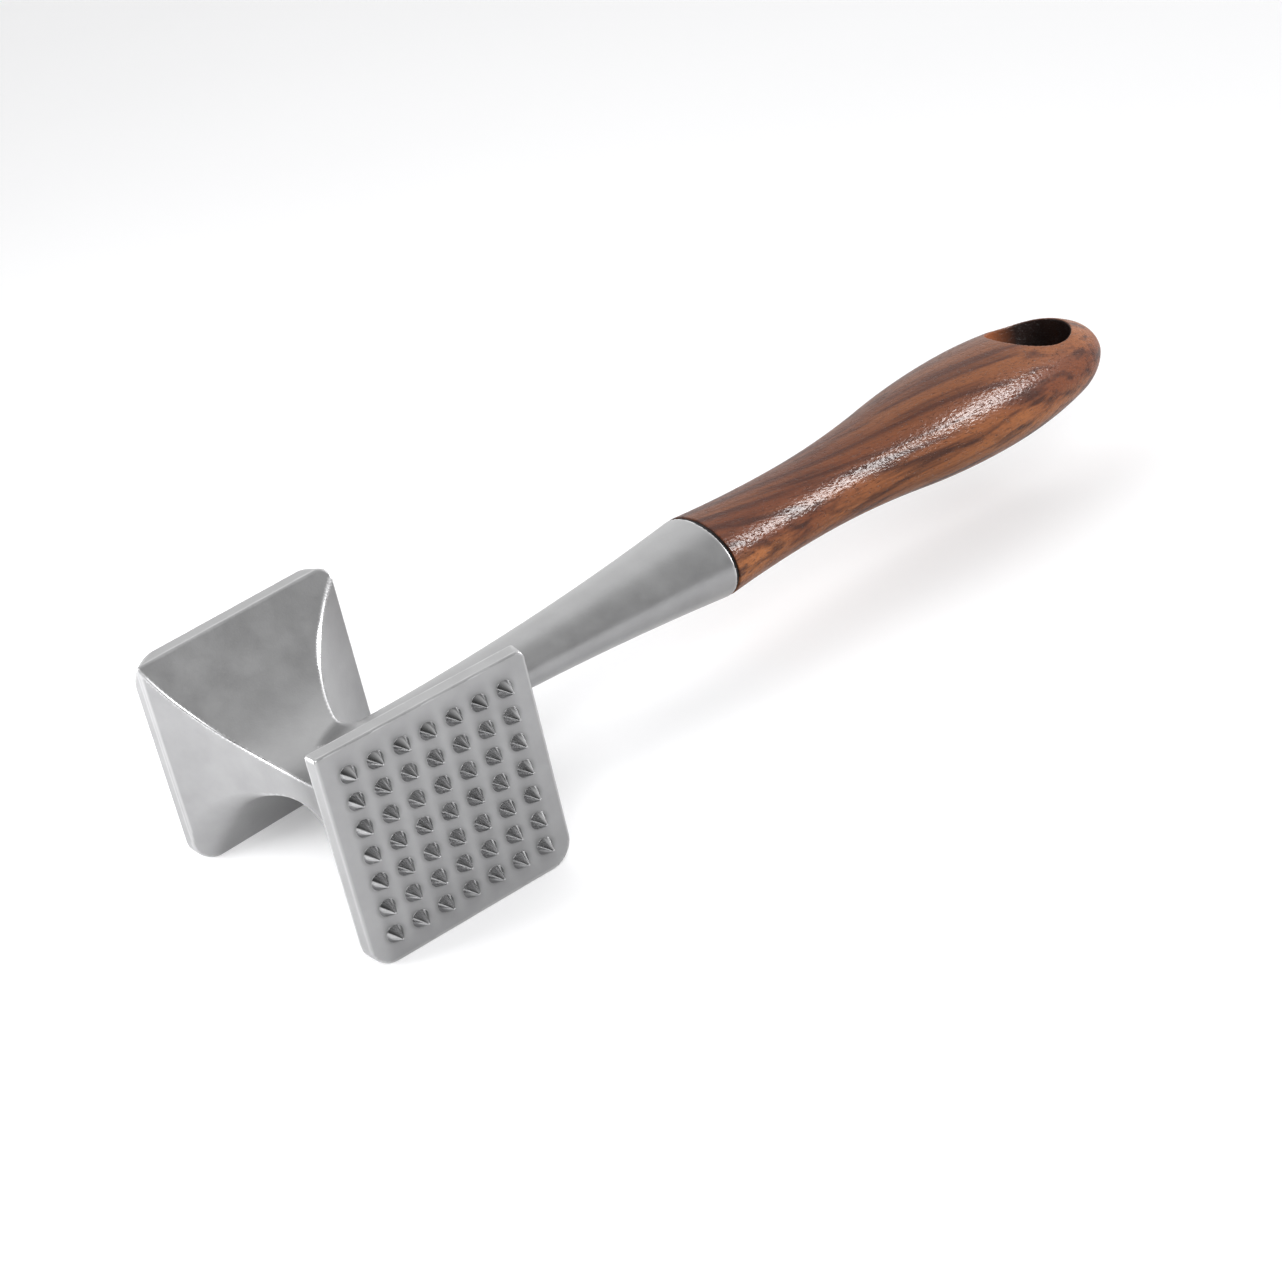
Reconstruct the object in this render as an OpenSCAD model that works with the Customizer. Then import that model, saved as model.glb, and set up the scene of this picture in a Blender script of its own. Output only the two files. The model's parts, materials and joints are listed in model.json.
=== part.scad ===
// Meat mallet: a cast head with a spiked face and a smooth face, an oval neck and a hardwood grip.
// The origin is the middle of the smooth face, which looks along +Y. The spiked face looks along -Y.
// The grip runs along +X, and "the middle of the head" below is the point where its axis meets the head.
// Millimetres.

/* [Striking head] */
// Side of each square striking face
face_side = 52; // [46:1:58]
// Distance between the two striking faces, measured through the middle of the head
head_depth = 76; // [70:1:84]
// Thickness of each plate at its rim
rim_t = 3.8; // [3:0.1:5]
// Thickness of each plate at its edge beside the neck, where the hollow next to the neck ends
neck_side_rim_t = 5.2; // [4:0.1:6]
// Angle by which each plate leans outwards towards the grip, so that knuckles clear the board
splay = 2.15; // [0:0.05:4]
// Radius of the corners of the plates
corner_r = 6; // [2:0.5:9]
// Radius of the two upper corners of the spiked plate, which are ground nearly square
square_corner_r = 1.5; // [0.5:0.5:6]
// Thickness of the web at the waist of the head
web_t = 7; // [6:0.5:12]
// Reach of the web from the middle of the head towards its free side
web_back = 14.1; // [10:0.5:18]
// Reach of the web from the middle of the head towards the neck
web_front = 3.5; // [2:0.5:8]

/* [Spikes] */
// Spikes along each side of the spiked face
spike_rows = 7; // [3:1:7]
// Distance from one spike to the next
spike_pitch = 6.5; // [6:0.1:6.8]
// Diameter of a spike where it meets the face
spike_base_d = 4; // [3:0.1:5.5]
// Height of a spike
spike_h = 3.4; // [2.5:0.1:5]
// Diameter of the blunt tip of a spike
spike_tip_d = 0.6; // [0.4:0.1:1]

/* [Neck] */
// Distance from the middle of the head to the end of the neck
neck_end = 101.8; // [95:0.1:110]
// Thickness of the neck where it leaves the head
neck_root_t = 10.5; // [10:0.5:12]
// Thickness of the neck at its wide end
neck_mouth_t = 19.8; // [19:0.1:22]
// Width of the neck and the grip for each millimetre of thickness
oval = 1.4; // [1.2:0.05:1.5]

/* [Joint] */
// Thickness of the spacer between neck and grip
spacer_t = 0.7; // [0.5:0.1:1.5]
// Step from the neck's outline in to the spacer's
spacer_step = 0.35; // [0.2:0.05:0.6]
// Thickness of the tenon that the grip pushes into the neck
tenon_t = 12; // [11:0.5:13]
// Length of the tenon beyond the spacer
tenon_len = 16; // [12:1:20]
// Nominal diameter of the stud that draws grip and neck together
stud_d = 8; // [6:1:8]
// Length of the stud inside the metal
stud_in_neck = 18; // [14:1:22]
// Length of the stud inside the wood
stud_in_wood = 52; // [40:1:60]

/* [Grip] */
// Distance from the middle of the head to the butt of the grip
butt_end = 234.6; // [230:0.5:245]
// Thickness of the grip at its slim waist
grip_waist_t = 17.6; // [16:0.2:19]
// Distance from the middle of the head to that waist
grip_waist_at = 132; // [126:1:138]
// Thickness of the grip where it is fullest
grip_swell_t = 25.6; // [23:0.2:28]
// Distance from the middle of the head to the fullest place
grip_swell_at = 194; // [188:1:200]
// Length of the hanging eye along the grip
eye_len = 22.6; // [20:0.1:25]
// Width of the hanging eye across the grip
eye_w = 19.8; // [16:0.2:21]
// Distance from the middle of the head to the centre of the eye
eye_at = 215.4; // [212:0.2:217]

/* [Hidden] */
$fn = 180;
eps = 0.01;
half_side = face_side / 2;
half_depth = head_depth / 2;
lean = tan(splay);
// Distance from the middle plane to the inner edge of a plate, through the middle of the head
reach = half_depth - rim_t;
grip_x = neck_end + spacer_t;
// Room round the tenon and beyond its end
socket_clear = 0.1;
socket_over = 0.5;
socket_depth = tenon_len - spacer_t + socket_over;
// Distance from the middle of the head at which the neck runs level
neck_level_at = 10.5;
// How far the neck starts inside the web's surface, so that the two cross
neck_sink = 0.3;
stud_r = stud_d / 2;
// Free depth of each drilled hole beyond the end of the stud
hole_over = 3;
// Chamfer at the stud's front end, its point at the other, and the radius left at the point's tip
stud_chamfer = 1;
stud_point = 6;
stud_tip_r = 1;
// Share of the run from grip waist to swell that is hollow, and the arcs of the butt
hollow_share = 0.535;
shoulder_r = 30;
nose_r = 7.5;
nose_turn = 58;
hair = 0.01;
// How far a cut reaches past the piece that it cuts
cut_over = 1;
// How far the cone that hollows the head reaches past it on each side
hollow_over = 4;

// Radius of the arc that dips by depth in the middle of a gap that opens to half_width on each side
function dip_radius(depth, half_width) = (depth * depth + half_width * half_width) / (2 * depth);

// A radius rounded to a tenth, so that two arcs that share their highest or lowest point meet exactly
function tenth(v) = round(10 * v) / 10;

// Half the gap between the plates at a place x along the grip's direction
function half_gap(x) = reach + x * lean;

// Outline of a plate: its lower corners have one radius and its upper corners another
module plate_outline(upper_r) {
    intersection() {
        square(face_side, center = true);
        union() {
            rounded_bar(corner_r, -1);
            rounded_bar(upper_r, 1);
        }
    }
}

// One half of the outline, below (side = -1) or above (side = 1) the middle
module rounded_bar(r, side) {
    inner = half_side - r;
    translate([-half_side, side > 0 ? 0 : -inner]) square([face_side, inner]);
    translate([-inner, side > 0 ? 0 : -half_side]) square([2 * inner, half_side]);
    for (sx = [-1, 1]) translate([sx * inner, side * inner]) circle(r);
}

// Outline of the head seen from above: two leaning plates joined by a web that is hollowed on both sides
module head_plan() {
    back_r = dip_radius(half_side - web_back, half_gap(-half_side));
    front_r = dip_radius(half_side - web_front, half_depth - neck_side_rim_t + half_side * lean);
    y_back = half_depth - half_side * lean;
    y_front = half_depth + half_side * lean;
    difference() {
        polygon([[-half_side, -y_back], [half_side, -y_front], [half_side, y_front], [-half_side, y_back]]);
        translate([-web_back - back_r, 0]) circle(back_r);
        translate([web_front + front_r, 0]) circle(front_r);
    }
}

// The cone that hollows the head above its web; it widens as the plates lean apart
module head_hollow() {
    depth = half_side - web_t / 2;
    x_far = half_side + hollow_over;
    r_back = dip_radius(depth, half_gap(-x_far));
    r_front = dip_radius(depth, half_gap(x_far));
    tilt = atan((r_front - r_back) / (2 * x_far));
    mid_r = (r_front + r_back) / 2;
    length = 2 * x_far / cos(tilt);
    flare = (r_front - r_back) / 2;
    translate([0, 0, web_t / 2 + mid_r]) rotate([0, 90 - tilt, 0])
        cylinder(h = length, r1 = (mid_r - flare) / cos(tilt), r2 = (mid_r + flare) / cos(tilt), center = true);
}

module spike() {
    cylinder(h = spike_h, d1 = spike_base_d, d2 = spike_tip_d, $fn = 48);
}

module spike_grid() {
    first = -(spike_rows - 1) / 2;
    translate([0, -half_depth, 0]) rotate([90, 0, -splay])
        for (col = [0 : spike_rows - 1], row = [0 : spike_rows - 1])
            translate([(first + col) * spike_pitch, (first + row) * spike_pitch, -eps]) spike();
}

// A strip of a turned profile between two stations along the grip
module band(from_x, to_x) {
    translate([0, from_x]) square([grip_swell_t, to_x - from_x]);
}

module disc(centre_r, centre_x, disc_r) {
    translate([centre_r, centre_x]) circle(disc_r, $fn = 720);
}

// What a concave arc removes from a strip
module hollow_cut(centre_r, centre_x, disc_r, from_x, to_x) {
    intersection() {
        band(from_x, to_x);
        disc(centre_r, centre_x, disc_r);
    }
}

// What a convex arc removes from a strip
module round_cut(centre_r, centre_x, disc_r, from_x, to_x) {
    difference() {
        band(from_x, to_x);
        disc(centre_r, centre_x, disc_r);
    }
}

// Half of the neck's section: it swells out of the web, runs level, then widens on a long arc
module neck_profile() {
    root_r = neck_root_t / 2;
    rise = (neck_mouth_t - neck_root_t) / 2;
    arc_r = tenth(dip_radius(rise, neck_end - neck_level_at));
    sink = root_r - web_t / 2 + neck_sink;
    swell_r = tenth(dip_radius(sink, neck_level_at));
    difference() {
        band(0, neck_end);
        round_cut(root_r - swell_r, neck_level_at, swell_r, 0, neck_level_at);
        hollow_cut(root_r + arc_r, neck_level_at, arc_r, neck_level_at, neck_end);
    }
}

// Turns a profile about Z in four quarters, which keeps its faces simple once they are stretched
module quarter_turns() {
    for (quarter = [0 : 3]) rotate([0, 0, 90 * quarter]) rotate_extrude(angle = 90) children();
}

// Lays a shape turned about Z along the grip's axis and widens it to the oval section
module along_grip() {
    scale([1, oval, 1]) rotate([0, 90, 0]) children();
}

// An oval bar along the grip's axis, half_t thick on each side
module oval_bar(half_t, from_x, to_x) {
    along_grip() translate([0, 0, from_x]) cylinder(h = to_x - from_x, r = half_t);
}

// Moves a piece from the middle of the head to its place beside the origin
module placed() {
    translate([0, -half_depth, 0]) children();
}

// The two plates and the web that joins them, hollowed on all four sides
module web_and_plates() {
    difference() {
        intersection() {
            linear_extrude(face_side, center = true) head_plan();
            union() {
                rotate([90, 0, 0]) linear_extrude(head_depth) plate_outline(square_corner_r);
                rotate([-90, 0, 0]) linear_extrude(head_depth) mirror([0, 1]) plate_outline(corner_r);
            }
        }
        head_hollow();
        mirror([0, 0, 1]) head_hollow();
    }
}

// The oval pocket in the end of the neck that takes the grip's tenon
module neck_socket() {
    oval_bar(tenon_t / 2 + socket_clear, neck_end - socket_depth, neck_end + eps);
}

// The hole for the stud behind the socket, as wide as the stud is over its threads
module neck_tapping() {
    depth = stud_in_neck + hole_over;
    translate([neck_end - socket_depth - depth, 0, 0]) rotate([0, 90, 0])
        cylinder(h = depth + eps, r = stud_r);
}

module head_casting() {
    color([0.66, 0.67, 0.68]) placed() difference() {
        union() {
            web_and_plates();
            along_grip() rotate_extrude() neck_profile();
            spike_grid();
        }
        neck_socket();
        neck_tapping();
    }
}

module joint_spacer() {
    color([0.05, 0.05, 0.05]) placed() difference() {
        oval_bar(neck_mouth_t / 2 - spacer_step, neck_end, grip_x);
        oval_bar(tenon_t / 2 + socket_clear, neck_end - cut_over, grip_x + cut_over);
    }
}

module threaded_stud() {
    start = neck_end - socket_depth - stud_in_neck;
    length = grip_x + stud_in_wood - start;
    shank = length - stud_chamfer - stud_point;
    color([0.6, 0.6, 0.58]) placed() translate([start, 0, 0]) rotate([0, 90, 0]) {
        cylinder(h = stud_chamfer, r1 = stud_r - stud_chamfer, r2 = stud_r);
        translate([0, 0, stud_chamfer]) cylinder(h = shank, r = stud_r);
        translate([0, 0, stud_chamfer + shank]) cylinder(h = stud_point, r1 = stud_r, r2 = stud_tip_r);
    }
}

// Half of the grip's section: a slim waist, a fuller hand swell and a rounded butt, all of arcs.
// Neighbouring arcs overlap by a hair, so that they cross instead of only touching.
module grip_profile() {
    waist_r = grip_waist_t / 2;
    swell_r = grip_swell_t / 2;
    front_arc = tenth(dip_radius(neck_mouth_t / 2 - waist_r, grip_waist_at - grip_x));
    run = grip_swell_at - grip_waist_at;
    rise = swell_r - waist_r;
    both_arcs = (run * run + rise * rise - hair * hair) / (2 * (rise - hair));
    hollow_arc = tenth(hollow_share * both_arcs);
    swell_arc = tenth(both_arcs - hollow_arc);
    turn_x = grip_waist_at + hollow_share * run;
    nose_x = butt_end - nose_r;
    shoulder_out = shoulder_r - nose_r + hair;
    shoulder_x = nose_x - shoulder_out * cos(nose_turn);
    shoulder_c = -shoulder_out * sin(nose_turn);
    shoulder_end = nose_x + nose_r * cos(nose_turn);
    ahead = shoulder_x - grip_swell_at;
    drop = swell_r - shoulder_c;
    inset_r = shoulder_r - hair;
    back_arc = tenth((ahead * ahead + drop * drop - inset_r * inset_r) / (2 * (drop - inset_r)));
    back_end = grip_swell_at + ahead * back_arc / (back_arc - shoulder_r);
    difference() {
        band(grip_x, butt_end);
        hollow_cut(waist_r + front_arc, grip_waist_at, front_arc, grip_x, grip_waist_at);
        hollow_cut(waist_r + hollow_arc, grip_waist_at, hollow_arc, grip_waist_at, turn_x);
        round_cut(swell_r - swell_arc, grip_swell_at, swell_arc, turn_x, grip_swell_at);
        round_cut(swell_r - back_arc, grip_swell_at, back_arc, grip_swell_at, butt_end);
        round_cut(shoulder_c, shoulder_x, shoulder_r, back_end, butt_end);
        round_cut(0, nose_x, nose_r, shoulder_end, butt_end + cut_over);
    }
}

// The hanging eye goes through the grip from top to bottom
module hanging_eye() {
    translate([eye_at, 0, -grip_swell_t]) scale([eye_len / eye_w, 1, 1]) quarter_turns()
        square([eye_w / 2, 2 * grip_swell_t]);
}

module wooden_grip() {
    color([0.5, 0.3, 0.18]) placed() difference() {
        union() {
            along_grip() quarter_turns() grip_profile();
            oval_bar(tenon_t / 2, grip_x - tenon_len, grip_x + cut_over);
        }
        translate([grip_x - tenon_len - cut_over, 0, 0]) rotate([0, 90, 0])
            cylinder(h = cut_over + tenon_len + stud_in_wood + hole_over, r = stud_r);
        hanging_eye();
    }
}

head_casting();
joint_spacer();
threaded_stud();
wooden_grip();
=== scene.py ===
"""Looks of the meat mallet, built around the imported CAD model. Shapes are worked out in millimetres."""

import json
import math

import bpy
import numpy as np
from mathutils import Matrix, Vector


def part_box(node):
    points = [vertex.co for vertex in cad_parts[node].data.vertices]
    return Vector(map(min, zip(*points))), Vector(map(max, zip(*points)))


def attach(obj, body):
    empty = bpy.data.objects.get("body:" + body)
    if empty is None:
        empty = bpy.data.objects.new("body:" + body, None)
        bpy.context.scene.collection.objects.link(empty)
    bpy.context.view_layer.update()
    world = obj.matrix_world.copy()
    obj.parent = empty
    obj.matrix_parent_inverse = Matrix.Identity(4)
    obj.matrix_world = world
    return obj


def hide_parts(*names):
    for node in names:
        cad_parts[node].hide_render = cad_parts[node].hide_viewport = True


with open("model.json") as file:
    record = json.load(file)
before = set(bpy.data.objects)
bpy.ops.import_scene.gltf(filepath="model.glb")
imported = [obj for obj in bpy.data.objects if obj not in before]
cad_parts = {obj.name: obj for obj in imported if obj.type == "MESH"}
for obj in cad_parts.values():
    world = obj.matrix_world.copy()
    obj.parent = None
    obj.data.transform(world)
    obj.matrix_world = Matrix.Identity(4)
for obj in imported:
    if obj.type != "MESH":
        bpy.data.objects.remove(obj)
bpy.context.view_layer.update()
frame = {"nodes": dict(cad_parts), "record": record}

MM = 0.001


# ---------------------------------------------------------------- dimensions, in millimetres


def node_box(node):
    low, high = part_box(node)
    return np.array(low) / MM, np.array(high) / MM


def mount(name):
    return next(m for m in frame["record"]["mounts"] if m["name"] == name)


head_low, head_high = node_box("head_casting")
spacer_low, spacer_high = node_box("joint_spacer")
grip_low, grip_high = node_box("wooden_grip")
stud_low, stud_high = node_box("threaded_stud")
face_normal = mount("smooth_face")["axis"]

# Shapes are described about the grip's axis, which lies at AXIS_Y in the model's frame.
AXIS_Y = (spacer_low[1] + spacer_high[1]) / 2
HALF_SIDE = head_high[2]
HALF_DEPTH = -AXIS_Y
LEAN = -face_normal[0] / face_normal[1]
OVAL = (spacer_high[1] - spacer_low[1]) / (spacer_high[2] - spacer_low[2])
NECK_END = spacer_low[0]
GRIP_START = spacer_high[0]
BUTT_END = grip_high[0]
EYE_X = mount("hanging_eye")["pos_m"][0] / MM

# The plates, the web between them and the hollows on its four sides.
RIM = 3.8
NECK_SIDE_RIM = 5.2
REACH = HALF_DEPTH - RIM
WEB_HALF = 3.5
WEB_BACK = 14.1
WEB_FRONT = 3.5
FACE_EDGE = 0.45
HOLLOW_EDGE = 0.4

# Radii of the plates' corners, each at the inner edge of the rim and at the striking face.
LOWER_CORNER = 6.0
SMOOTH_NECK_CORNER = (3.2, 6.2)
SMOOTH_FREE_CORNER = (0.7, 7.0)
SPIKED_NECK_CORNER = (0.7, 2.3)
SPIKED_FREE_CORNER = (0.7, 0.9)

# Radii of the ridges between the hollows. The lower free ridge is rounder towards the smooth plate.
UPPER_RIDGE = 0.4
LOWER_NECK_RIDGE = 0.8
LOWER_FREE_RIDGE = (0.5, 5.0)
RIDGE_SWELLS = (8, 30)

# The flat on one ridge: its depth along the whole ridge, how much deeper it gets at one place, and
# where it begins to show bright, by wear and painted highlight. NO_FLAT keeps it away from the other
# ridges.
FLAT_DEPTH = 0.07
FLAT_DIP = 0.58
FLAT_DIP_AT = 25.5
FLAT_DIP_WIDTH = 4.2
FLAT_SHOWS_FROM = 12
NO_FLAT = -10
# The flat cuts two hollows that meet at 60 degrees: this makes its field a distance.
FLAT_SLOPE = 0.577

# The neck. Its arcs are followed no further than NECK_ARC_REACH from their middle.
SPACER_STEP = 0.35
NECK_ROOT = 5.25
NECK_LEVEL_AT = 10.5
NECK_SINK = 0.3
NECK_ARC_REACH = 100
NECK_MOUTH = (spacer_high[2] - spacer_low[2]) / 2 + SPACER_STEP
NECK_FILLET = 5.0
NECK_EDGE = 0.35
SOCKET_DEPTH = 15.8
SOCKET_HALF = 6.1
STUD_HALF = (stud_high[2] - stud_low[2]) / 2
STUD_HOLE_OVER = 3

# The spikes, with radii at the base and the tip, and how far each is sunk in the face.
SPIKES = 7
SPIKE_PITCH = 6.5
SPIKE_BASE = 2.0
SPIKE_HEIGHT = 3.4
SPIKE_TIP = 0.3
SPIKE_FOOT = 0.05
SPIKE_SINK = 0.1
SPIKE_TURNS = 36
SPIKE_ARC_STEPS = 6

# The grip, with half thicknesses at its waist and its swell. HOLLOW_SHARE is the share of the rise
# between them that is hollow. The butt is an arc of SHOULDER that runs into one of NOSE.
GRIP_WAIST = 8.8
GRIP_WAIST_AT = 132.0
GRIP_SWELL = grip_high[2]
GRIP_SWELL_AT = 194.0
HOLLOW_SHARE = 0.535
SHOULDER = 30.0
NOSE = 7.5
NOSE_TURN = math.radians(58)
GRIP_EDGE = 0.3
TENON_HALF = 6.0
TENON_SINK = 1
PILOT_HOLE_OVER = 1
EYE_HALF_LENGTH = 11.3
EYE_HALF_WIDTH = 9.9
EYE_RIM = 0.6

# The meshes: the cells of the grid, the space that it takes in beyond the spiked face, the step
# for slopes, the rounds that bring points onto a surface, and the least length to divide by.
GRID_STEP = 0.45
GRID_SPARE = 1.5
SLOPE_STEP = 0.02
SETTLE_ROUNDS = 4
TINY = 1e-6


# ---------------------------------------------------------------- distance fields


def dip_radius(depth, half_gap):
    """Radius of the arc that dips by depth in the middle of a gap of twice half_gap."""
    return (depth * depth + half_gap * half_gap) / (2 * depth)


def ramp(value, start, end):
    """0 up to start, 1 from end on and a smooth step between them. The end may be the lower one."""
    t = np.clip((value - start) / (end - start), 0, 1)
    return t * t * (3 - 2 * t)


def blend(pair, share):
    """From the first of two values to the second."""
    return pair[0] + (pair[1] - pair[0]) * share


def meet(a, b, radius):
    """Both shapes at once, with the edge where they meet rounded to the radius."""
    corner = np.hypot(np.maximum(a + radius, 0), np.maximum(b + radius, 0))
    return np.minimum(-radius, np.maximum(a, b)) + corner


def join(a, b, radius):
    """Either shape, with a fillet of the radius where they meet."""
    return -meet(-a, -b, radius)


def oval_distance(y, z):
    """Radius of the oval section through a point, and what turns a step in it into a distance."""
    least_slope = 0.3
    radius = np.hypot(z, y / OVAL)
    slope = np.hypot(z, y / OVAL**2) / np.maximum(radius, TINY)
    return radius, 1 / np.maximum(slope, least_slope)


def corner_radius(x, y, z):
    """Radius of the plates' corners: one of its own for each upper corner."""
    inner = REACH + x * LEAN
    outwards = np.clip((np.abs(y) - inner) / RIM, 0, 1)
    smooth_neck, smooth_free = blend(SMOOTH_NECK_CORNER, outwards), blend(SMOOTH_FREE_CORNER, outwards)
    spiked_neck, spiked_free = blend(SPIKED_NECK_CORNER, outwards), blend(SPIKED_FREE_CORNER, outwards)
    neck_side = np.where(y > 0, smooth_neck, spiked_neck)
    free_side = np.where(y > 0, smooth_free, spiked_free)
    return np.where(z > 0, np.where(x > 0, neck_side, free_side), LOWER_CORNER)


def plates(x, y, z):
    """A square column with rounded corners between the two leaning faces."""
    radius = corner_radius(x, y, z)
    u = np.abs(x) - HALF_SIDE + radius
    v = np.abs(z) - HALF_SIDE + radius
    column = np.hypot(np.maximum(u, 0), np.maximum(v, 0)) + np.minimum(np.maximum(u, v), 0) - radius
    faces = (np.abs(y) - HALF_DEPTH - x * LEAN) / math.hypot(1, LEAN)
    return meet(column, faces, FACE_EDGE)


def ridge_radius(x, y, z):
    """How far each of the ridges between the hollows is worn or cast round."""
    lower_free = blend(LOWER_FREE_RIDGE, ramp(y, *RIDGE_SWELLS))
    return np.where(z > 0, UPPER_RIDGE, np.where(x > 0, LOWER_NECK_RIDGE, lower_free))


def ground_flat(x, y, z):
    """Depth of the narrow flat on the upper ridge between the neck and the smooth plate."""
    depth = FLAT_DEPTH + FLAT_DIP * np.exp(-(((y - FLAT_DIP_AT) / FLAT_DIP_WIDTH) ** 2))
    return np.where((x > 0) & (y > 0) & (z > 0), depth, NO_FLAT)


def hollow_fields(x, y, z):
    """Distances to the hollows above and below the web, and to those behind and ahead of it."""
    top_r = dip_radius(HALF_SIDE - WEB_HALF, REACH + x * LEAN)
    back_r = dip_radius(HALF_SIDE - WEB_BACK, REACH - HALF_SIDE * LEAN)
    front_r = dip_radius(HALF_SIDE - WEB_FRONT, HALF_DEPTH - NECK_SIDE_RIM + HALF_SIDE * LEAN)
    above_below = top_r - np.hypot(y, np.abs(z) - WEB_HALF - top_r)
    behind = back_r - np.hypot(x + WEB_BACK + back_r, y)
    ahead = front_r - np.hypot(x - WEB_FRONT - front_r, y)
    return above_below, np.maximum(behind, ahead)


def head_field(x, y, z):
    """Signed distance of the whole casting, less its spikes."""
    above_below, behind_ahead = hollow_fields(x, y, z)
    hollows = meet(above_below, behind_ahead, ridge_radius(x, y, z))
    flat = (above_below + behind_ahead + ground_flat(x, y, z)) * FLAT_SLOPE
    head = meet(plates(x, y, z), np.maximum(hollows, flat), HOLLOW_EDGE)
    return np.maximum(join(head, neck_field(x, y, z), NECK_FILLET), -socket_field(x, y, z))


def neck_half(x):
    """Half thickness of the neck: it swells out of the web, runs level and widens on a long arc."""
    arc_r = dip_radius(NECK_MOUTH - NECK_ROOT, NECK_END - NECK_LEVEL_AT)
    swell_r = dip_radius(NECK_ROOT - WEB_HALF + NECK_SINK, NECK_LEVEL_AT)
    off = np.minimum(np.abs(x - NECK_LEVEL_AT), NECK_ARC_REACH)
    swelling = NECK_ROOT - swell_r + np.sqrt(np.maximum(swell_r**2 - off**2, 0))
    widening = NECK_ROOT + arc_r - np.sqrt(arc_r**2 - off**2)
    return np.where(x < NECK_LEVEL_AT, swelling, widening)


def neck_field(x, y, z):
    radius, scale = oval_distance(y, z)
    side = (radius - neck_half(x)) * scale
    return meet(np.maximum(side, -x), x - NECK_END, NECK_EDGE)


def socket_field(x, y, z):
    """The oval socket for the tenon and the tapped hole behind it."""
    radius, scale = oval_distance(y, z)
    socket = np.maximum((radius - SOCKET_HALF) * scale, NECK_END - SOCKET_DEPTH - x)
    hole = np.maximum(np.hypot(y, z) - STUD_HALF, stud_low[0] - STUD_HOLE_OVER - x)
    return np.minimum(socket, hole)


def grip_arcs():
    """The arcs of the grip's half section: (last x, centre x, centre radius, arc radius, hollow)."""
    front = dip_radius(NECK_MOUTH - GRIP_WAIST, GRIP_WAIST_AT - GRIP_START)
    run = GRIP_SWELL_AT - GRIP_WAIST_AT
    rise = GRIP_SWELL - GRIP_WAIST
    both = dip_radius(rise, run)
    hollow = HOLLOW_SHARE * both
    swell = both - hollow
    nose_x = BUTT_END - NOSE
    shoulder_x = nose_x - (SHOULDER - NOSE) * math.cos(NOSE_TURN)
    shoulder_c = -(SHOULDER - NOSE) * math.sin(NOSE_TURN)
    ahead = shoulder_x - GRIP_SWELL_AT
    drop = GRIP_SWELL - shoulder_c
    back = (ahead**2 + drop**2 - SHOULDER**2) / (2 * (drop - SHOULDER))
    back_end = GRIP_SWELL_AT + ahead * back / (back - SHOULDER)
    shoulder_end = nose_x + NOSE * math.cos(NOSE_TURN)
    return [
        (GRIP_WAIST_AT, GRIP_WAIST_AT, GRIP_WAIST + front, front, True),
        (GRIP_WAIST_AT + HOLLOW_SHARE * run, GRIP_WAIST_AT, GRIP_WAIST + hollow, hollow, True),
        (GRIP_SWELL_AT, GRIP_SWELL_AT, GRIP_SWELL - swell, swell, False),
        (back_end, GRIP_SWELL_AT, GRIP_SWELL - back, back, False),
        (shoulder_end, shoulder_x, shoulder_c, SHOULDER, False),
        (math.inf, nose_x, 0.0, NOSE, False),
    ]


def grip_field(x, y, z):
    """Signed distance of the wooden grip with its tenon, stud hole and hanging eye."""
    radius, scale = oval_distance(y, z)
    stations, distances = [], []
    for last_x, centre_x, centre_r, arc_r, hollow in grip_arcs():
        off = np.hypot(x - centre_x, radius - centre_r)
        stations.append(x <= last_x)
        distances.append(arc_r - off if hollow else off - arc_r)
    side = np.select(stations, distances) * scale
    body = meet(side, GRIP_START - x, GRIP_EDGE)
    along, across = (x - EYE_X) / EYE_HALF_LENGTH, y / EYE_HALF_WIDTH
    reach = np.hypot(along, across)
    slope = np.hypot(along / EYE_HALF_LENGTH, across / EYE_HALF_WIDTH)
    eye = (reach - 1) * reach / np.maximum(slope, TINY)
    body = meet(body, -eye, EYE_RIM)
    tenon_ends = np.maximum(grip_low[0] - x, x - GRIP_START - TENON_SINK)
    tenon = np.maximum((radius - TENON_HALF) * scale, tenon_ends)
    hole = np.maximum(np.hypot(y, z) - STUD_HALF, x - stud_high[0] - PILOT_HOLE_OVER)
    return np.maximum(np.minimum(body, tenon), -hole)


# ---------------------------------------------------------------- from field to mesh


def field_gradient(field, points):
    """Central differences of the field at each point."""
    gradient = np.empty_like(points)
    for axis in range(3):
        ahead, behind = points.copy(), points.copy()
        ahead[:, axis] += SLOPE_STEP
        behind[:, axis] -= SLOPE_STEP
        gradient[:, axis] = (field(*ahead.T) - field(*behind.T)) / (2 * SLOPE_STEP)
    return gradient


def lengths(vectors):
    """The length of each vector, in a column."""
    return np.maximum(np.linalg.norm(vectors, axis=1, keepdims=True), TINY)


def settle(field, points, furthest):
    """Moves points onto the field's surface, by no more than furthest in a round, and adds normals."""
    least_slope = 0.05
    for _ in range(SETTLE_ROUNDS):
        gradient = field_gradient(field, points)
        slope = np.maximum((gradient**2).sum(1), least_slope)
        move = -(field(*points.T) / slope)[:, None] * gradient
        points = points + move * np.minimum(1, furthest / lengths(move))
    gradient = field_gradient(field, points)
    return points, gradient / lengths(gradient)


def edge_crossings(values, axis):
    """Where neighbouring grid values along an axis change sign, and how far along the edge."""
    size = values.shape[axis]
    first = np.take(values, range(size - 1), axis)
    second = np.take(values, range(1, size), axis)
    crossed = (first < 0) != (second < 0)
    share = np.where(crossed, first / np.where(crossed, first - second, 1), 0)
    return crossed, share, first < 0


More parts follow.
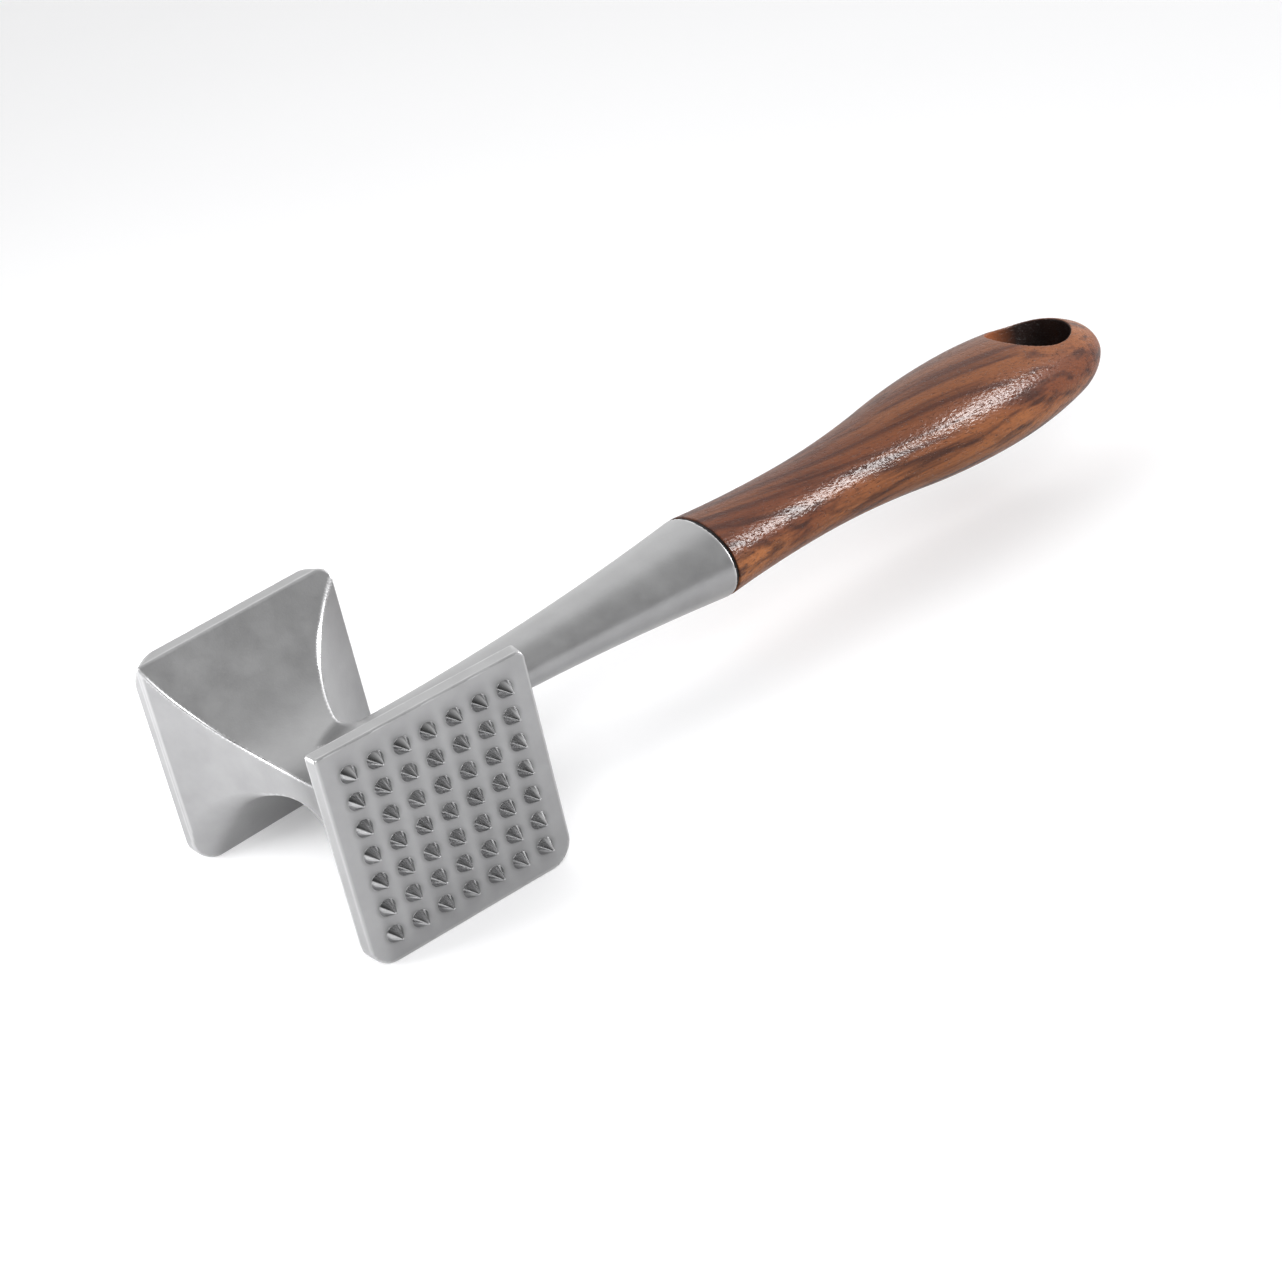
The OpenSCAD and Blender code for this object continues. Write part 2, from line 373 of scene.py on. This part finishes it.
def surface_net(field, low, high, step):
    """A quad mesh of the field's zero surface: one point in each cell that the surface crosses."""
    margin = 1.5 * step
    axes = [np.arange(a - margin, b + margin, step) for a, b in zip(low, high)]
    x, y, z = np.meshgrid(*axes, indexing="ij", sparse=True)
    values = field(x, y, z)
    cells = tuple(n - 1 for n in values.shape)
    total = np.zeros(cells + (3,), np.float32)
    count = np.zeros(cells, np.float32)
    crossings = [edge_crossings(values, axis) for axis in range(3)]
    for axis, (crossed, share, _) in enumerate(crossings):
        others = [a for a in range(3) if a != axis]
        for i in (0, 1):
            for j in (0, 1):
                part = [slice(None)] * 3
                part[others[0]] = slice(i, cells[others[0]] + i)
                part[others[1]] = slice(j, cells[others[1]] + j)
                hit = crossed[tuple(part)]
                count += hit
                total[..., axis] += np.where(hit, share[tuple(part)], 0)
                total[..., others[0]] += hit * i
                total[..., others[1]] += hit * j
    active = count > 0
    number = np.full(cells, -1)
    number[active] = np.arange(active.sum())
    corner = np.argwhere(active)
    points = (corner + total[active] / count[active][:, None]) * step + [a[0] for a in axes]
    quads = [net_quads(crossings[axis], number, axis) for axis in range(3)]
    return points, np.concatenate(quads)


def net_quads(crossing, number, axis):
    """One quad round each crossed edge, wound so that it faces out of the solid."""
    crossed, _, starts_inside = crossing
    b, c = (axis + 1) % 3, (axis + 2) % 3
    at = np.argwhere(crossed)
    at = at[(at[:, b] > 0) & (at[:, c] > 0)]
    at = at[(at[:, b] < number.shape[b]) & (at[:, c] < number.shape[c])]
    corners = []
    for db, dc in ((-1, -1), (0, -1), (0, 0), (-1, 0)):
        cell = at.copy()
        cell[:, b] += db
        cell[:, c] += dc
        corners.append(number[tuple(cell.T)])
    quads = np.stack(corners, 1)
    inside = starts_inside[tuple(at.T)]
    quads[~inside] = quads[~inside][:, ::-1]
    return quads


def bend(field, points, reach):
    """How sharply the surface bends outwards at each point, measured over a reach."""
    total = -6 * field(*points.T)
    for axis in range(3):
        for side in (-reach, reach):
            beside = points.copy()
            beside[:, axis] += side
            total += field(*beside.T)
    return total / reach**2


# How far edges are rubbed bright, partly by wear and partly as painted highlight: ridges beside the neck,
# ridges on the free side and plate rims.
NECK_RIDGE_WEAR_AND_HIGHLIGHT = 1.0
FREE_RIDGE_WEAR_AND_HIGHLIGHT = 0.55
RIM_WEAR_AND_HIGHLIGHT = 0.3
# The reach over which a bend is measured, and the bends at which the wear and painted highlight begin and
# are full.
WEAR_AND_HIGHLIGHT_REACH = 0.25
WEAR_AND_HIGHLIGHT_BENDS = (0.25, 1.4)
# Where a rim and the flat begin and where they are full, as distances from their edges.
RIM_ZONE = (-1.5, -0.3)
FLAT_ZONE = (-0.12, -0.02)


def edge_wear_and_highlight(points):
    """Wear and painted highlight on the casting, from 0 where it is flat or hollow to 1 on sharp edges
    and on the flat.
    """
    x, y, z = points.T
    rim = ramp(np.abs(y) - REACH - x * LEAN, *RIM_ZONE)
    ridge_wear_and_highlight = np.where(x < 0, FREE_RIDGE_WEAR_AND_HIGHLIGHT, NECK_RIDGE_WEAR_AND_HIGHLIGHT)
    on_edge = ramp(bend(head_field, points, WEAR_AND_HIGHLIGHT_REACH), *WEAR_AND_HIGHLIGHT_BENDS) * blend((ridge_wear_and_highlight, RIM_WEAR_AND_HIGHLIGHT), rim)
    above_below, behind_ahead = hollow_fields(x, y, z)
    on_flat = ramp(above_below + behind_ahead + ground_flat(x, y, z), *FLAT_ZONE) * (1 - rim)
    on_flat = on_flat * (y > FLAT_SHOWS_FROM) * (x < HALF_SIDE)
    return np.maximum(on_edge, on_flat)


# The painted shade on the spiked face, round each spike and along each column: where each fades out, and
# where it is full.
HALO_FADES = (3.1, 1.8)
STRIPE_FADES = (3.2, 0.8)
STRIPE_ENDS = (25, 21)
STRIPE_SHARE = 0.5
FACE_ZONE = (-0.3, -0.1)


def from_nearest_spike(place):
    """Distance from the nearest row of spikes, with its sign, for places along one side of the face."""
    furthest = (SPIKES - 1) / 2
    return place - np.clip(np.round(place / SPIKE_PITCH), -furthest, furthest) * SPIKE_PITCH


def face_shade(points):
    """Painted shade on the spiked face: most round each spike, some along each column, none elsewhere."""
    x, y, z = points.T
    along = (x - (y + HALF_DEPTH) * LEAN) / math.hypot(1, LEAN)
    across_column, across_row = from_nearest_spike(along), from_nearest_spike(z)
    halo = ramp(np.hypot(across_column, across_row), *HALO_FADES)
    stripe = ramp(np.abs(across_column), *STRIPE_FADES) * ramp(np.abs(z), *STRIPE_ENDS)
    on_face = ramp(-y - HALF_DEPTH - x * LEAN, *FACE_ZONE)
    return on_face * np.maximum(halo, STRIPE_SHARE * stripe)


def field_mesh(field, low, high):
    """Points, normals and quads of a field's surface between two corners."""
    points, quads = surface_net(field, low, high, GRID_STEP)
    points, normals = settle(field, points, GRID_STEP / 2)
    return points, normals, quads.tolist()


def mesh_object(name, points, normals, faces):
    """A smooth mesh object from points about the axis, in millimetres, with these normals."""
    mesh = bpy.data.meshes.new(name)
    mesh.from_pydata(((points + [0, AXIS_Y, 0]) * MM).tolist(), [], faces)
    mesh.shade_smooth()
    mesh.update()
    mesh.normals_split_custom_set_from_vertices(normals.tolist())
    obj = bpy.data.objects.new(name, mesh)
    bpy.context.scene.collection.objects.link(obj)
    return obj


# ---------------------------------------------------------------- spikes


def spike_profile():
    """Half section of a spike, from its flared foot to its ball tip: (radius, height, outward angle)."""
    lift = SPIKE_HEIGHT - SPIKE_TIP
    tilt = math.atan2(-lift, SPIKE_BASE) + math.acos(SPIKE_TIP / math.hypot(SPIKE_BASE, lift))
    upright = math.pi / 2
    foot_r = SPIKE_BASE + SPIKE_FOOT * (1 - math.sin(tilt)) / math.cos(tilt)
    profile = [(foot_r, -SPIKE_SINK, upright)]
    for a in np.linspace(upright, tilt, SPIKE_ARC_STEPS):
        profile.append((foot_r - SPIKE_FOOT * math.cos(a), SPIKE_FOOT - SPIKE_FOOT * math.sin(a), a))
    for a in np.linspace(tilt, upright, SPIKE_ARC_STEPS):
        profile.append((SPIKE_TIP * math.cos(a), lift + SPIKE_TIP * math.sin(a), a))
    return profile


def spike_ring(radius, height, angle):
    """Points and normals of one ring of a spike: across the face twice, then out of it."""
    turn = np.arange(SPIKE_TURNS) * 2 * math.pi / SPIKE_TURNS
    circle = np.stack([np.cos(turn), np.sin(turn)], 1)
    level = np.ones((SPIKE_TURNS, 1))
    points = np.hstack([radius * circle, height * level])
    return points, np.hstack([math.cos(angle) * circle, math.sin(angle) * level])


def spike_faces(rings, first):
    """The side quads of a spike and the two caps, for points numbered from first."""
    faces = []
    for ring in range(rings - 1):
        for i in range(SPIKE_TURNS):
            j = (i + 1) % SPIKE_TURNS
            low, high = first + ring * SPIKE_TURNS, first + (ring + 1) * SPIKE_TURNS
            faces.append([low + i, low + j, high + j, high + i])
    last = first + (rings - 1) * SPIKE_TURNS
    faces.append([last + i for i in range(SPIKE_TURNS)])
    faces.append([first + i for i in reversed(range(SPIKE_TURNS))])
    return faces


def spikes_mesh():
    """Points, normals and faces of all the spikes, each square to the leaning face."""
    rings = [spike_ring(*station) for station in spike_profile()]
    points = np.concatenate([ring[0] for ring in rings])
    normals = np.concatenate([ring[1] for ring in rings])
    length = math.hypot(1, LEAN)
    axes = np.array([[1 / length, -LEAN / length, 0], [0, 0, 1], [-LEAN / length, -1 / length, 0]])
    places = (np.arange(SPIKES) - (SPIKES - 1) / 2) * SPIKE_PITCH
    all_points, faces = [], []
    for along in places:
        for up in places:
            faces += spike_faces(len(rings), len(all_points) * len(points))
            all_points.append((points + [along, up, 0]) @ axes + [0, -HALF_DEPTH, 0])
    return np.concatenate(all_points), np.tile(normals @ axes, (len(all_points), 1)), faces


# ---------------------------------------------------------------- materials


class Shader:
    """Short ways to add and join shader nodes."""

    def __init__(self, name, **settings):
        self.material = bpy.data.materials.new(name)
        self.material.use_nodes = True
        self.tree = self.material.node_tree
        self.surface = self.tree.nodes["Principled BSDF"]
        for socket, value in settings.items():
            self.surface.inputs[socket.replace("_", " ")].default_value = value

    def node(self, kind, inputs=None, **settings):
        """A node with its settings and its inputs, each a value or another node's output."""
        node = self.tree.nodes.new("ShaderNode" + kind)
        for name, value in settings.items():
            setattr(node, name, value)
        for name, value in (inputs or {}).items():
            if isinstance(value, bpy.types.NodeSocket):
                self.tree.links.new(value, node.inputs[name])
            else:
                node.inputs[name].default_value = value
        return node

    def place(self):
        """Object coordinates, in metres."""
        return self.node("TexCoord").outputs["Object"]

    def cells(self, size, turn=0.0):
        """The place counted in cells of a size in millimetres, turned about Z by some degrees."""
        inputs = {"Vector": self.place(), "Scale": [MM * length for length in size]}
        inputs["Rotation"] = (0, 0, math.radians(turn))
        return self.node("Mapping", inputs, vector_type="TEXTURE").outputs["Vector"]

    def noise(self, vector, detail, roughness=0.5):
        """Smooth noise from 0 to 1, with about one swelling to a cell."""
        inputs = {"Vector": vector, "Scale": 1.0, "Detail": detail, "Roughness": roughness}
        return self.node("TexNoise", inputs).outputs["Fac"]

    def between(self, value, low, high, to_low=0.0, to_high=1.0):
        """The value spread from low..high to to_low..to_high, and held at the ends."""
        inputs = {"Value": value, "From Min": low, "From Max": high, "To Min": to_low, "To Max": to_high}
        return self.node("MapRange", inputs).outputs["Result"]

    def share(self, value, centre, half):
        """A coordinate counted from a centre in halves of a length, both in millimetres."""
        return self.math("DIVIDE", self.math("SUBTRACT", value, centre * MM), half * MM)

    def math(self, operation, a, b):
        return self.node("Math", {0: a, 1: b}, operation=operation).outputs[0]

    def mix(self, share, a, b):
        """A colour between a and b. The Mix node's colours are its inputs 6 and 7 and its output 2."""
        return self.node("Mix", {0: share, 6: a, 7: b}, data_type="RGBA").outputs[2]

    def drive(self, socket, output):
        self.tree.links.new(output, self.surface.inputs[socket])

    def bumped(self, height, distance):
        """The normal of a surface that a height of 1 raises by a distance in millimetres."""
        return self.node("Bump", {"Height": height, "Distance": distance * MM}).outputs["Normal"]


def grey(value):
    """A grey with a trace of blue."""
    return (value, value, value * 1.01, 1)


# Noise seldom leaves this range, so tones and roughness are spread over it.
NOISE_RANGE = (0.3, 0.7)
METAL_TONES = (grey(0.30), grey(0.35))
# Painted shade on the spiked face: its grey, and how far it darkens.
METAL_PAINTED_SHADE = grey(0.12)
METAL_PAINTED_SHADE_SHARE = 0.55
# Edges and the flat are brightened to this grey, partly as wear and partly as painted highlight.
METAL_RUBBED_AND_HIGHLIGHT = grey(0.72)
METAL_ROUGHNESS = (0.33, 0.40)
METAL_GRAIN_ROUGHNESS = (-0.03, 0.03)
METAL_RUBBED_SMOOTHER = 0.12
SPIKE_TONES = (grey(0.28), grey(0.36))
SPIKE_ROUGHNESS = (0.16, 0.22)
STEEL_TONES = (grey(0.42), grey(0.55))
STEEL_ROUGHNESS = (0.25, 0.40)
PLASTIC_TONES = (grey(0.008), grey(0.02))
PLASTIC_ROUGHNESS = (0.45, 0.65)
FINE_RELIEF = 0.02
BLOTCH_RELIEF = 3.0


def cast_metal():
    """Satin cast metal: soft blotches from the mould, a fine grain, painted shade on the spiked face, and
    edges that are rubbed bright, partly by wear and partly as painted highlight.
    """
    s = Shader("cast_metal", Metallic=1.0)
    blotches = s.noise(s.cells((8, 8, 8)), detail=4, roughness=0.55)
    grain = s.noise(s.cells((0.5, 0.5, 0.5)), detail=4, roughness=0.65)
    wear_and_highlight = s.node("Attribute", attribute_name="wear_and_highlight").outputs["Fac"]
    shade = s.node("Attribute", attribute_name="shade").outputs["Fac"]
    satin = s.mix(s.between(blotches, *NOISE_RANGE), *METAL_TONES)
    # Painted shade darkens the spiked face round each spike and along each column.
    satin = s.mix(s.math("MULTIPLY", shade, METAL_PAINTED_SHADE_SHARE), satin, METAL_PAINTED_SHADE)
    # Painted highlight, together with real wear, brightens the rubbed edges and the flat.
    s.drive("Base Color", s.mix(wear_and_highlight, satin, METAL_RUBBED_AND_HIGHLIGHT))
    roughness = s.between(blotches, *NOISE_RANGE, *METAL_ROUGHNESS)
    roughness = s.math("ADD", roughness, s.between(grain, *NOISE_RANGE, *METAL_GRAIN_ROUGHNESS))
    s.drive("Roughness", s.math("SUBTRACT", roughness, s.math("MULTIPLY", wear_and_highlight, METAL_RUBBED_SMOOTHER)))
    relief = s.math("ADD", s.math("MULTIPLY", blotches, BLOTCH_RELIEF), grain)
    s.drive("Normal", s.bumped(relief, FINE_RELIEF))
    return s.material


def polished_metal():
    """The spikes: the same metal, smoother."""
    s = Shader("polished_metal", Metallic=1.0)
    grain = s.noise(s.cells((4, 4, 4)), detail=2)
    s.drive("Base Color", s.mix(s.between(grain, *NOISE_RANGE), *SPIKE_TONES))
    s.drive("Roughness", s.between(grain, *NOISE_RANGE, *SPIKE_ROUGHNESS))
    return s.material


def steel():
    """The hidden stud: turned steel."""
    s = Shader("stud_steel", Metallic=1.0)
    rings = s.noise(s.cells((0.6, 10, 10)), detail=2)
    s.drive("Base Color", s.mix(rings, *STEEL_TONES))
    s.drive("Roughness", s.between(rings, *NOISE_RANGE, *STEEL_ROUGHNESS))
    s.drive("Normal", s.bumped(rings, FINE_RELIEF))
    return s.material


def black_plastic():
    """The spacer: matt black plastic with a faint grain."""
    s = Shader("spacer", Specular_IOR_Level=0.35)
    grain = s.noise(s.cells((0.25, 0.25, 0.25)), detail=2)
    s.drive("Base Color", s.mix(grain, *PLASTIC_TONES))
    s.drive("Roughness", s.between(grain, *NOISE_RANGE, *PLASTIC_ROUGHNESS))
    s.drive("Normal", s.bumped(grain, FINE_RELIEF))
    return s.material


# The figure of the wood: the slant of its fibres in degrees, and the size of each kind of marking
# along the fibres, across them and up, in millimetres.
WOOD_SLANT = -12.0
BAND_CELLS = (170, 9, 9)
STREAK_CELLS = (150, 2.3, 2.3)
FIBRE_CELLS = (9, 0.4, 0.4)
PORE_CELLS = (1.6, 0.3, 0.3)
RIPPLE_CELLS = (1.1, 0.7, 0.7)
WOOD_LIGHT = (0.19, 0.069, 0.024, 1)
WOOD_RED = (0.09, 0.028, 0.012, 1)
WOOD_STREAK = (0.020, 0.008, 0.006, 1)
# Painted shade along the top of the grip.
WOOD_TOP_SHADE = (0.045, 0.014, 0.008, 1)
WOOD_PORE = (0.025, 0.008, 0.005, 1)
WOOD_RELIEF = 0.13
# Painted light and shade on the wall of the eye: its lit and shaded colours, and where it darkens and
# fades out.
EYE_PAINTED_LIGHT = (0.13, 0.042, 0.018, 1)
EYE_PAINTED_SHADE = (0.012, 0.007, 0.006, 1)
EYE_SHADE_SPAN = (-0.4, 0.4)
EYE_FADES = (1.06, 1.01)


def painted_eye_wall(s, tone):
    """The wood's colour, but on the wall of the eye painted light and shade: lit brown, and darker
    towards the butt.
    """
    place = s.node("SeparateXYZ", {0: s.place()})
    along = s.share(place.outputs["X"], EYE_X, EYE_HALF_LENGTH)
    across = s.share(place.outputs["Y"], AXIS_Y, EYE_HALF_WIDTH)
    reach = s.math("ADD", s.math("MULTIPLY", along, along), s.math("MULTIPLY", across, across))
    # Painted light and shade: the wall is lit brown and shaded darker towards the butt.
    painted_wall_tone = s.mix(s.between(along, *EYE_SHADE_SPAN), EYE_PAINTED_LIGHT, EYE_PAINTED_SHADE)
    return s.mix(s.between(reach, *EYE_FADES), tone, painted_wall_tone)


def lacquered_wood():
    """Lacquered red-brown hardwood with open pores, whose fibres run a little off the grip's axis.

    Painted shade darkens it along the top of the grip.
    """
    s = Shader("grip_wood", Coat_Weight=0.26, Coat_Roughness=0.2, Specular_IOR_Level=0.05)
    bands = s.noise(s.cells(BAND_CELLS, WOOD_SLANT), detail=2)
    streaks = s.noise(s.cells(STREAK_CELLS, WOOD_SLANT), detail=3, roughness=0.55)
    fibres = s.noise(s.cells(FIBRE_CELLS, WOOD_SLANT), detail=3, roughness=0.6)
    pores = s.noise(s.cells(PORE_CELLS, WOOD_SLANT), detail=2, roughness=0.6)
    ripple = s.noise(s.cells(RIPPLE_CELLS, WOOD_SLANT), detail=2)
    tone = s.mix(s.between(bands, 0.36, 0.64), WOOD_LIGHT, WOOD_RED)
    tone = s.mix(s.between(streaks, 0.46, 0.64, 0, 0.9), tone, WOOD_STREAK)
    tone = s.mix(s.between(fibres, 0.45, 0.75, 0, 0.4), tone, WOOD_STREAK)
    tone = s.mix(s.between(pores, 0.62, 0.70, 0, 0.6), tone, WOOD_PORE)
    height = s.share(s.node("SeparateXYZ", {0: s.place()}).outputs["Z"], 0, GRIP_SWELL)
    # Painted shade: the grip is darker towards its top.
    tone = s.mix(s.between(height, -0.1, 0.9, 0, 0.6), tone, WOOD_TOP_SHADE)
    s.drive("Base Color", painted_eye_wall(s, tone))
    s.drive("Roughness", s.between(fibres, 0.35, 0.65, 0.4, 0.55))
    normal = s.bumped(s.math("SUBTRACT", ripple, s.between(pores, 0.58, 0.70)), WOOD_RELIEF)
    s.drive("Normal", normal)
    s.drive("Coat Normal", normal)
    return s.material


def pale_floor():
    """A pale floor that gives a little light of its own, so that it stays white far from the lamps."""
    glow = {"Emission_Color": (1, 1, 1, 1), "Emission_Strength": 0.15}
    s = Shader("floor", Roughness=0.6, Specular_IOR_Level=0.2, **glow)
    tone = s.noise(s.cells((100, 100, 100)), detail=2)
    s.drive("Base Color", s.mix(tone, grey(0.88), grey(0.9)))
    return s.material


# ---------------------------------------------------------------- pieces


def stand_for(node, slot_name, obj, *materials):
    """Makes the object a piece of the mallet that stands for a CAD node."""
    for material in materials:
        obj.data.materials.append(material)
    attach(obj, "root")
    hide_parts(node)
    return obj


def store(obj, name, values):
    """Keeps a value for each of the first points of a mesh, and 0 for the rest."""
    padded = np.zeros(len(obj.data.vertices), np.float32)
    padded[: len(values)] = values
    obj.data.attributes.new(name, "FLOAT", "POINT").data.foreach_set("value", padded)


def build_head():
    """The casting with its spikes, which are smoother than the rest."""
    high = head_high - [0, AXIS_Y, 0]
    low = np.array([head_low[0], -high[1] - GRID_SPARE, head_low[2]])
    points, normals, faces = field_mesh(head_field, low, high)
    more_points, more_normals, more_faces = spikes_mesh()
    all_faces = faces + [[i + len(points) for i in face] for face in more_faces]
    all_points = np.concatenate([points, more_points])
    head = mesh_object("mallet_head", all_points, np.concatenate([normals, more_normals]), all_faces)
    # Wear and painted highlight on the edges and the flat.
    store(head, "wear_and_highlight", edge_wear_and_highlight(points))
    # Painted shade round the spikes and along their columns.
    store(head, "shade", face_shade(points))
    is_spike = np.arange(len(all_faces)) >= len(faces)
    head.data.polygons.foreach_set("material_index", is_spike.astype(np.int32))
    return stand_for("head_casting", "cast_metal", head, cast_metal(), polished_metal())


def build_grip():
    low = grip_low - [0, AXIS_Y, 0]
    high = grip_high - [0, AXIS_Y, 0]
    grip = mesh_object("mallet_grip", *field_mesh(grip_field, low, high))
    return stand_for("wooden_grip", "grip_wood", grip, lacquered_wood())


def dress(node, material):
    """Gives a CAD node, which keeps its shape, a material of its own."""
    materials = frame["nodes"][node].data.materials
    materials.clear()
    materials.append(material)


# ---------------------------------------------------------------- studio

CAMERA_AT = Vector((-243.78, -524.97, 297.52)) * MM
CAMERA_AZIMUTH = math.radians(33.693)
CAMERA_DOWN = math.radians(27.853)
CAMERA_ROLL = math.radians(-12.949)
CAMERA_LENS = 80.295


def direction(azimuth, elevation):
    """The unit vector at an azimuth, which is 0 along +Y and grows towards +X, and an elevation."""
    flat = math.cos(elevation)
    return Vector((math.sin(azimuth) * flat, math.cos(azimuth) * flat, math.sin(elevation)))


def camera_axes():
    """Right, up and forward of the camera."""
    ahead = direction(CAMERA_AZIMUTH, -CAMERA_DOWN)
    level = direction(CAMERA_AZIMUTH + math.pi / 2, 0)
    steep = level.cross(ahead)
    right = level * math.cos(CAMERA_ROLL) + steep * math.sin(CAMERA_ROLL)
    return right, right.cross(ahead), ahead


def add_camera():
    data = bpy.data.cameras.new("camera")
    data.lens = CAMERA_LENS
    camera = bpy.data.objects.new("camera", data)
    right, up, ahead = camera_axes()
    turn = Matrix((right, up, -ahead)).transposed().to_4x4()
    camera.matrix_world = Matrix.Translation(CAMERA_AT) @ turn
    bpy.context.scene.collection.objects.link(camera)
    bpy.context.scene.camera = camera


def add_softbox(name, aim, azimuth, elevation, distance, size, power, only=()):
    """A square area light that shines at a place, on everything or only on some objects.

    Angles are in degrees, and distance and size in metres.
    """
    outwards = direction(math.radians(azimuth), math.radians(elevation))
    data = bpy.data.lights.new(name, "AREA")
    data.size = size
    data.energy = power
    light = bpy.data.objects.new(name, data)
    light.location = Vector(aim) * MM + outwards * distance
    light.rotation_mode = "QUATERNION"
    light.rotation_quaternion = outwards.to_track_quat("Z", "Y")
    bpy.context.scene.collection.objects.link(light)
    if only:
        lit = bpy.data.collections.new(name + "_lit")
        for obj in only:
            lit.objects.link(obj)
        light.light_linking.receiver_collection = lit


FLOOR_HALF = 4000.0
FLOOR_GAP = 0.02


def add_floor():
    """A wide pale floor just under the head."""
    half, height = FLOOR_HALF * MM, (head_low[2] - FLOOR_GAP) * MM
    corners = [(-half, -half), (half, -half), (half, half), (-half, half)]
    mesh = bpy.data.meshes.new("floor")
    mesh.from_pydata([(x, y, height) for x, y in corners], [], [(0, 1, 2, 3)])
    mesh.materials.append(pale_floor())
    floor = bpy.data.objects.new("floor", mesh)
    bpy.context.scene.collection.objects.link(floor)
    return floor


SKY = 0.80
SKY_SLOPE = (0.68, 0.50, -0.22)


def add_world():
    """A pale sky that grows brighter towards +X and +Y and a little darker upwards."""
    world = bpy.data.worlds.new("studio")
    world.use_nodes = True
    tree = world.node_tree
    towards = tree.nodes.new("ShaderNodeTexCoord").outputs["Generated"]
    slope = tree.nodes.new("ShaderNodeVectorMath")
    slope.operation = "DOT_PRODUCT"
    slope.inputs[1].default_value = SKY_SLOPE
    level = tree.nodes.new("ShaderNodeMath")
    level.inputs[1].default_value = SKY
    background = tree.nodes["Background"]
    background.inputs["Color"].default_value = (1, 1, 1, 1)
    tree.links.new(towards, slope.inputs[0])
    tree.links.new(slope.outputs["Value"], level.inputs[0])
    tree.links.new(level.outputs[0], background.inputs["Strength"])
    bpy.context.scene.world = world


HEAD_AT = (0, AXIS_Y, 0)
NECK_AT = (80, AXIS_Y, 0)


def add_studio(head_piece, grip):
    """The floor, the sky and the lamps, some of which leave the metal or the wood alone."""
    bpy.context.scene.view_settings.view_transform = "Standard"
    add_world()
    floor = add_floor()
    add_softbox("key", HEAD_AT, -60, 22, distance=0.36, size=0.24, power=1.5)
    add_softbox("fill", NECK_AT, -150, 35, distance=0.9, size=0.6, power=6.0, only=(head_piece, floor))
    add_softbox("back", NECK_AT, 30, 55, distance=0.8, size=0.5, power=0.3)
    add_softbox("edge", HEAD_AT, 102, 5, distance=0.8, size=0.4, power=3.0, only=(head_piece,))
    add_softbox("streak", HEAD_AT, -93, 7, distance=0.8, size=0.3, power=0.5, only=(head_piece,))
    add_softbox("gloss", NECK_AT, 134, 37, distance=0.9, size=0.30, power=18.0, only=(grip,))
    add_softbox("low", NECK_AT, 175, 14, distance=0.9, size=0.35, power=2.5, only=(grip,))


head_piece = build_head()
grip = build_grip()
dress("joint_spacer", black_plastic())
dress("threaded_stud", steel())
add_studio(head_piece, grip)
add_camera()
